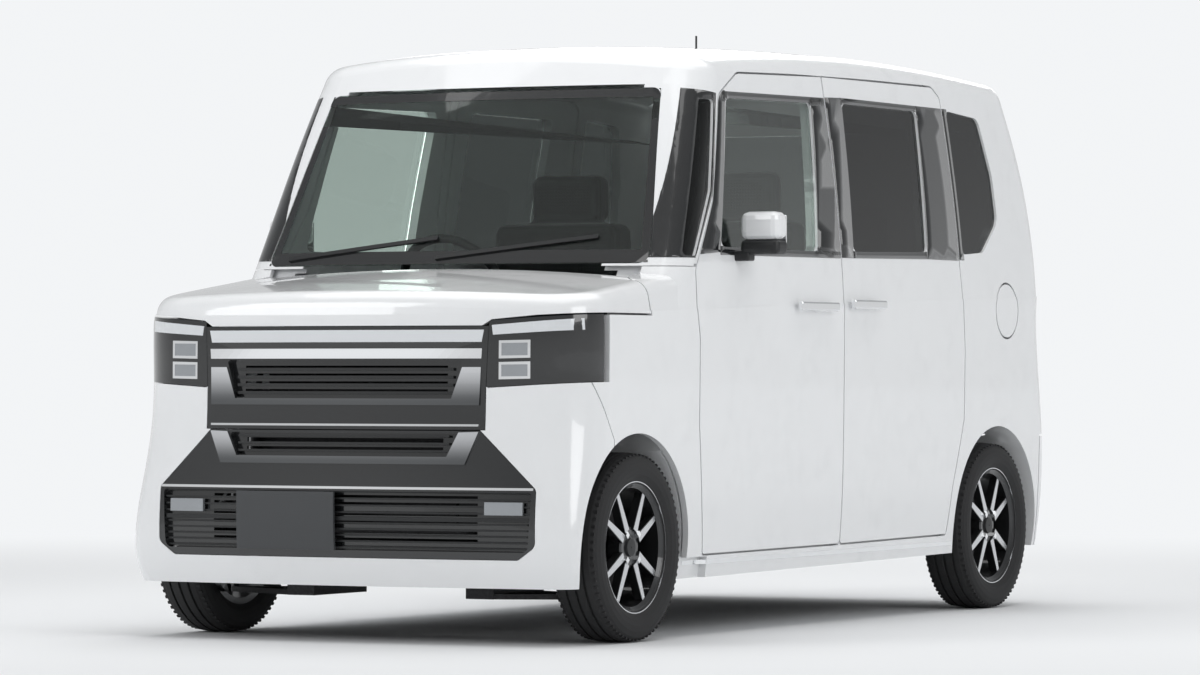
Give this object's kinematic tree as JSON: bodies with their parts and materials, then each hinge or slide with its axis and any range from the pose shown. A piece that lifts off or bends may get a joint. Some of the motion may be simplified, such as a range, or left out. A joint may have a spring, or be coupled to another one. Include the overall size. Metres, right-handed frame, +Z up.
{
  "type": "kei car",
  "caption": "Tall boxy light wagon with hinged front doors, sliding rear doors, a tailgate, steered front wheels and a furnished cabin.",
  "frame": {"origin": "on the ground below the middle of the car's length and width", "axes": "+Z up, +Y to the rear, +X to the car's left; the front of the car faces -Y"},
  "size_m": [1.738, 3.3986, 1.7751],
  "materials": {
    "white_paint": "gloss",
    "black_plastic": "matte",
    "gloss_trim": "gloss",
    "lamp_body": "gloss",
    "red_lens": "gloss",
    "clear_glass": "clear",
    "dark_glass": "tinted",
    "alloy": "machined",
    "tyre": "rubber",
    "seat_fabric": "woven",
    "steel": "satin",
    "cast": "rough"
  },
  "bodies": {
    "car_body": {"sliding_door_left": "white_paint", "sliding_door_right": "white_paint", "side_frame_left": "white_paint", "side_frame_right": "white_paint", "front_fender_left": "white_paint", "front_fender_right": "white_paint", "headlamp_left": "lamp_body", "headlamp_right": "lamp_body", "roof_panel": "white_paint", "windscreen": "clear_glass", "fixed_side_glass": "dark_glass", "sliding_door_glass": "dark_glass", "tail_lamps": "red_lens", "front_bumper": "white_paint", "rear_bumper": "white_paint", "upper_grille": "gloss_trim", "lower_grille": "gloss_trim", "floor_pan": "steel", "cowl_bulkhead": "steel", "dashboard": "black_plastic", "front_seats": "seat_fabric", "rear_seats": "seat_fabric", "engine_block": "cast", "fuel_tank": "black_plastic", "front_subframe": "steel", "rear_axle": "steel"},
    "front_door_left": {"front_door_left": "white_paint", "front_door_glass_left": "clear_glass", "door_mirror_left": "white_paint"},
    "front_door_right": {"front_door_right": "white_paint", "front_door_glass_right": "clear_glass", "door_mirror_right": "white_paint"},
    "tailgate": {"tailgate": "white_paint", "tailgate_glass": "dark_glass"},
    "bonnet": {"bonnet": "white_paint"},
    "fuel_flap": {"fuel_flap": "white_paint"},
    "steering_wheel": {"steering_wheel": "black_plastic"},
    "knuckle_left": {"knuckle_left": "cast"},
    "knuckle_right": {"knuckle_right": "cast"},
    "wheel_front_left": {"rim_front_left": "alloy", "tyre_front_left": "tyre"},
    "wheel_front_right": {"rim_front_right": "alloy", "tyre_front_right": "tyre"},
    "wheel_rear_left": {"rim_rear_left": "alloy", "tyre_rear_left": "tyre"},
    "wheel_rear_right": {"rim_rear_right": "alloy", "tyre_rear_right": "tyre"}
  },
  "joints": [
    {"name": "front_door_left_hinge", "type": "hinge", "parent": "car_body", "child": "front_door_left", "pos_m": [0.731, -0.8915, 0.935], "axis": [0.0209, 0, -0.9998], "range_deg": [0, 70]},
    {"name": "front_door_right_hinge", "type": "hinge", "parent": "car_body", "child": "front_door_right", "pos_m": [-0.731, -0.8915, 0.935], "axis": [0.0209, 0, 0.9998], "range_deg": [0, 70]},
    {"name": "tailgate_hinge", "type": "hinge", "parent": "car_body", "child": "tailgate", "pos_m": [0, 1.4645, 1.725], "axis": [1, 0, 0], "range_deg": [0, 80]},
    {"name": "bonnet_hinge", "type": "hinge", "parent": "car_body", "child": "bonnet", "pos_m": [0, -1.1455, 1.044], "axis": [-1, 0, 0], "range_deg": [0, 50]},
    {"name": "fuel_flap_hinge", "type": "hinge", "parent": "car_body", "child": "fuel_flap", "pos_m": [0.735, 1.2515, 0.964], "axis": [0, 0, -1], "range_deg": [0, 85]},
    {"name": "steer_left", "type": "hinge", "parent": "car_body", "child": "knuckle_left", "pos_m": [0.58851, -1.2575, 0.268], "axis": [-0.1301, 0, 0.9915], "range_deg": [-35, 35]},
    {"name": "steer_right", "type": "hinge", "parent": "car_body", "child": "knuckle_right", "pos_m": [-0.58851, -1.2575, 0.268], "axis": [0.1301, 0, 0.9915], "range_deg": [-35, 35]},
    {"name": "steering_wheel_spin", "type": "hinge", "parent": "car_body", "child": "steering_wheel", "pos_m": [-0.34, -0.4275, 1.02], "axis": [0, 0.8829, 0.4695], "range_deg": [-540, 540]},
    {"name": "wheel_front_left_spin", "type": "hinge", "parent": "knuckle_left", "child": "wheel_front_left", "pos_m": [0.6525, -1.2575, 0.268], "axis": [1, 0, 0], "continuous": true},
    {"name": "wheel_front_right_spin", "type": "hinge", "parent": "knuckle_right", "child": "wheel_front_right", "pos_m": [-0.6525, -1.2575, 0.268], "axis": [1, 0, 0], "continuous": true},
    {"name": "wheel_rear_left_spin", "type": "hinge", "parent": "car_body", "child": "wheel_rear_left", "pos_m": [0.6525, 1.2625, 0.268], "axis": [1, 0, 0], "continuous": true},
    {"name": "wheel_rear_right_spin", "type": "hinge", "parent": "car_body", "child": "wheel_rear_right", "pos_m": [-0.6525, 1.2625, 0.268], "axis": [1, 0, 0], "continuous": true}
  ],
  "couplings": [
    {"joint": "steer_right", "follows": "steer_left", "ratio": 1},
    {"joint": "steering_wheel_spin", "follows": "steer_left", "ratio": 15}
  ]
}
